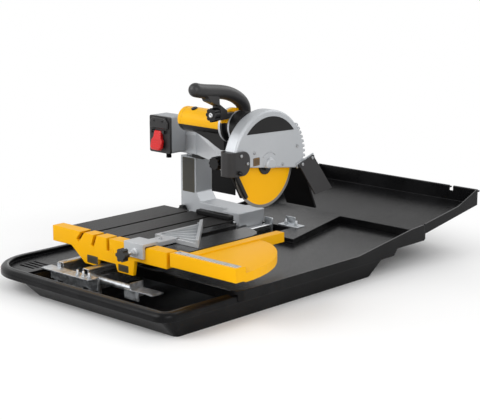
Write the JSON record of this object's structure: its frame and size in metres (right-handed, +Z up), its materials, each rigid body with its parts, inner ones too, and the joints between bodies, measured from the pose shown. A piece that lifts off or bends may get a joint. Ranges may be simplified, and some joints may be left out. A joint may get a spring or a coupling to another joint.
{
  "type": "wet tile saw",
  "caption": "Electric bench tile saw with a plunging, bevelling blade head on a column, a rolling tile cart with fence and edge guide, a water pan and splash trays.",
  "frame": {"origin": "middle of the pan's flat base, on the floor", "axes": "+X to the operator's right, +Y to the back along the cut, +Z up"},
  "size_m": [0.914, 1.481, 0.643],
  "materials": {
    "pan_black": "textured satin",
    "galvanised": "galvanised",
    "stainless": "brushed",
    "cast_aluminium": "painted cast, satin",
    "safety_yellow": "satin paint",
    "yellow_moulding": "moulded",
    "black_moulding": "moulded",
    "grey_moulding": "moulded",
    "red_moulding": "moulded",
    "black_rubber": "matt",
    "dark_plate": "dark anodised",
    "turned_steel": "turned",
    "blade_yellow": "painted steel",
    "blade_rim": "sintered",
    "wound_core": "laminated"
  },
  "bodies": {
    "base": {"water_pan": "pan_black", "side_tray": "pan_black", "rear_tray": "pan_black", "base_frame": "galvanised", "rail_left": "stainless", "rail_right": "stainless", "front_plate": "galvanised", "front_tube": "stainless", "column": "cast_aluminium", "plunge_pin": "turned_steel"},
    "drain_plug": {"drain_plug": "black_rubber"},
    "column_knob": {"column_knob": "black_moulding"},
    "cart": {"table_plate": "dark_plate", "mat_left": "black_rubber", "mat_middle": "black_rubber", "mat_right": "black_rubber", "cart_truck": "galvanised", "fence": "safety_yellow", "side_extension": "safety_yellow"},
    "roller_left_front": {"roller_left_front": "black_moulding"},
    "roller_left_back": {"roller_left_back": "black_moulding"},
    "roller_right_front": {"roller_right_front": "black_moulding"},
    "roller_right_back": {"roller_right_back": "black_moulding"},
    "edge_guide": {"guide_clamp": "cast_aluminium", "guide_casting": "cast_aluminium"},
    "guide_knob": {"guide_knob": "black_moulding"},
    "arm": {"arm_casting": "cast_aluminium", "arm_curtain": "black_rubber", "switch_box": "grey_moulding", "switch_face": "black_moulding", "cord_gland": "black_rubber"},
    "switch_paddle": {"switch_paddle": "red_moulding"},
    "bevel_knob": {"bevel_knob": "black_moulding"},
    "head": {"drive_housing": "cast_aluminium", "drive_cover": "cast_aluminium", "bevel_bolt": "turned_steel", "drive_belt": "black_rubber", "motor_shell": "yellow_moulding", "motor_belly": "black_moulding", "motor_cap": "yellow_moulding", "motor_ring": "cast_aluminium", "stator": "wound_core", "bearing_left": "turned_steel", "bearing_right": "turned_steel", "blade_guard": "cast_aluminium", "nozzle_block": "black_moulding", "handle": "black_moulding", "flap_bracket": "galvanised", "splash_flap": "black_rubber", "splash_skirt": "black_rubber"},
    "spindle": {"spindle": "turned_steel", "spindle_pulley": "turned_steel", "arbor_nut": "turned_steel", "blade_core": "blade_yellow", "blade_rim": "blade_rim"},
    "rotor": {"rotor": "wound_core", "motor_pulley": "turned_steel"},
    "star_knob": {"star_knob": "black_moulding"},
    "nozzle_left": {"nozzle_left": "black_moulding"},
    "nozzle_right": {"nozzle_right": "black_moulding"}
  },
  "joints": [
    {"name": "drain_pull", "type": "slide", "parent": "base", "child": "drain_plug", "axis": [0, 0, 1], "range_m": [0, 0.05]},
    {"name": "column_knob_turn", "type": "hinge", "parent": "base", "child": "column_knob", "pos_m": [-0.458, 0.35, 0.118], "axis": [0, 1, 0], "range_deg": [0, 180]},
    {"name": "cart_slide", "type": "slide", "parent": "base", "child": "cart", "axis": [0, -1, 0], "range_m": [-0.33, 0.12]},
    {"name": "roller_left_front_roll", "type": "hinge", "parent": "cart", "child": "roller_left_front", "pos_m": [-0.26, -0.23, 0.1198], "axis": [1, 0, 0], "range_deg": [-960, 360]},
    {"name": "roller_left_back_roll", "type": "hinge", "parent": "cart", "child": "roller_left_back", "pos_m": [-0.26, -0.04, 0.1198], "axis": [1, 0, 0], "range_deg": [-960, 360]},
    {"name": "roller_right_front_roll", "type": "hinge", "parent": "cart", "child": "roller_right_front", "pos_m": [-0.145, -0.23, 0.1198], "axis": [1, 0, 0], "range_deg": [-960, 360]},
    {"name": "roller_right_back_roll", "type": "hinge", "parent": "cart", "child": "roller_right_back", "pos_m": [-0.145, -0.04, 0.1198], "axis": [1, 0, 0], "range_deg": [-960, 360]},
    {"name": "guide_slide", "type": "slide", "parent": "cart", "child": "edge_guide", "axis": [-1, 0, 0], "range_m": [0, 0.28]},
    {"name": "guide_knob_turn", "type": "hinge", "parent": "edge_guide", "child": "guide_knob", "pos_m": [0.012, -0.361, 0.167], "axis": [0, 1, 0], "range_deg": [0, 180]},
    {"name": "head_plunge", "type": "hinge", "parent": "base", "child": "arm", "pos_m": [-0.4375, 0.389, 0.362], "axis": [1, 0, 0], "range_deg": [0, 18], "stiffness_Nm_per_rad": 200, "springref_deg": -40.11},
    {"name": "paddle_rock", "type": "hinge", "parent": "arm", "child": "switch_paddle", "pos_m": [-0.456, 0.226, 0.403], "axis": [1, 0, 0], "range_deg": [0, 6]},
    {"name": "bevel_knob_turn", "type": "hinge", "parent": "arm", "child": "bevel_knob", "pos_m": [0.08, -0.04, 0.4], "axis": [0, 1, 0], "range_deg": [0, 180]},
    {"name": "head_bevel", "type": "hinge", "parent": "arm", "child": "head", "pos_m": [0.08, 0.002, 0.4], "axis": [0, 1, 0], "range_deg": [0, 45]},
    {"name": "blade_spin", "type": "hinge", "parent": "head", "child": "spindle", "pos_m": [0.14, 0.1, 0.38], "axis": [1, 0, 0], "continuous": true},
    {"name": "rotor_spin", "type": "hinge", "parent": "head", "child": "rotor", "pos_m": [-0.044, 0.055, 0.5], "axis": [1, 0, 0], "continuous": true},
    {"name": "star_knob_turn", "type": "hinge", "parent": "head", "child": "star_knob", "pos_m": [0.06, -0.035, 0.541], "axis": [0, 1, 0], "range_deg": [0, 180]},
    {"name": "nozzle_left_swivel", "type": "hinge", "parent": "head", "child": "nozzle_left", "pos_m": [0.131, -0.038, 0.38], "axis": [1, 0, 0], "range_deg": [-5, 10]},
    {"name": "nozzle_right_swivel", "type": "hinge", "parent": "head", "child": "nozzle_right", "pos_m": [0.149, -0.038, 0.38], "axis": [1, 0, 0], "range_deg": [-5, 10]}
  ],
  "couplings": [
    {"joint": "roller_left_front_roll", "follows": "cart_slide", "rad_per_m": 50},
    {"joint": "roller_left_back_roll", "follows": "cart_slide", "rad_per_m": 50},
    {"joint": "roller_right_front_roll", "follows": "cart_slide", "rad_per_m": 50},
    {"joint": "roller_right_back_roll", "follows": "cart_slide", "rad_per_m": 50},
    {"joint": "rotor_spin", "follows": "blade_spin", "ratio": 2.4}
  ]
}
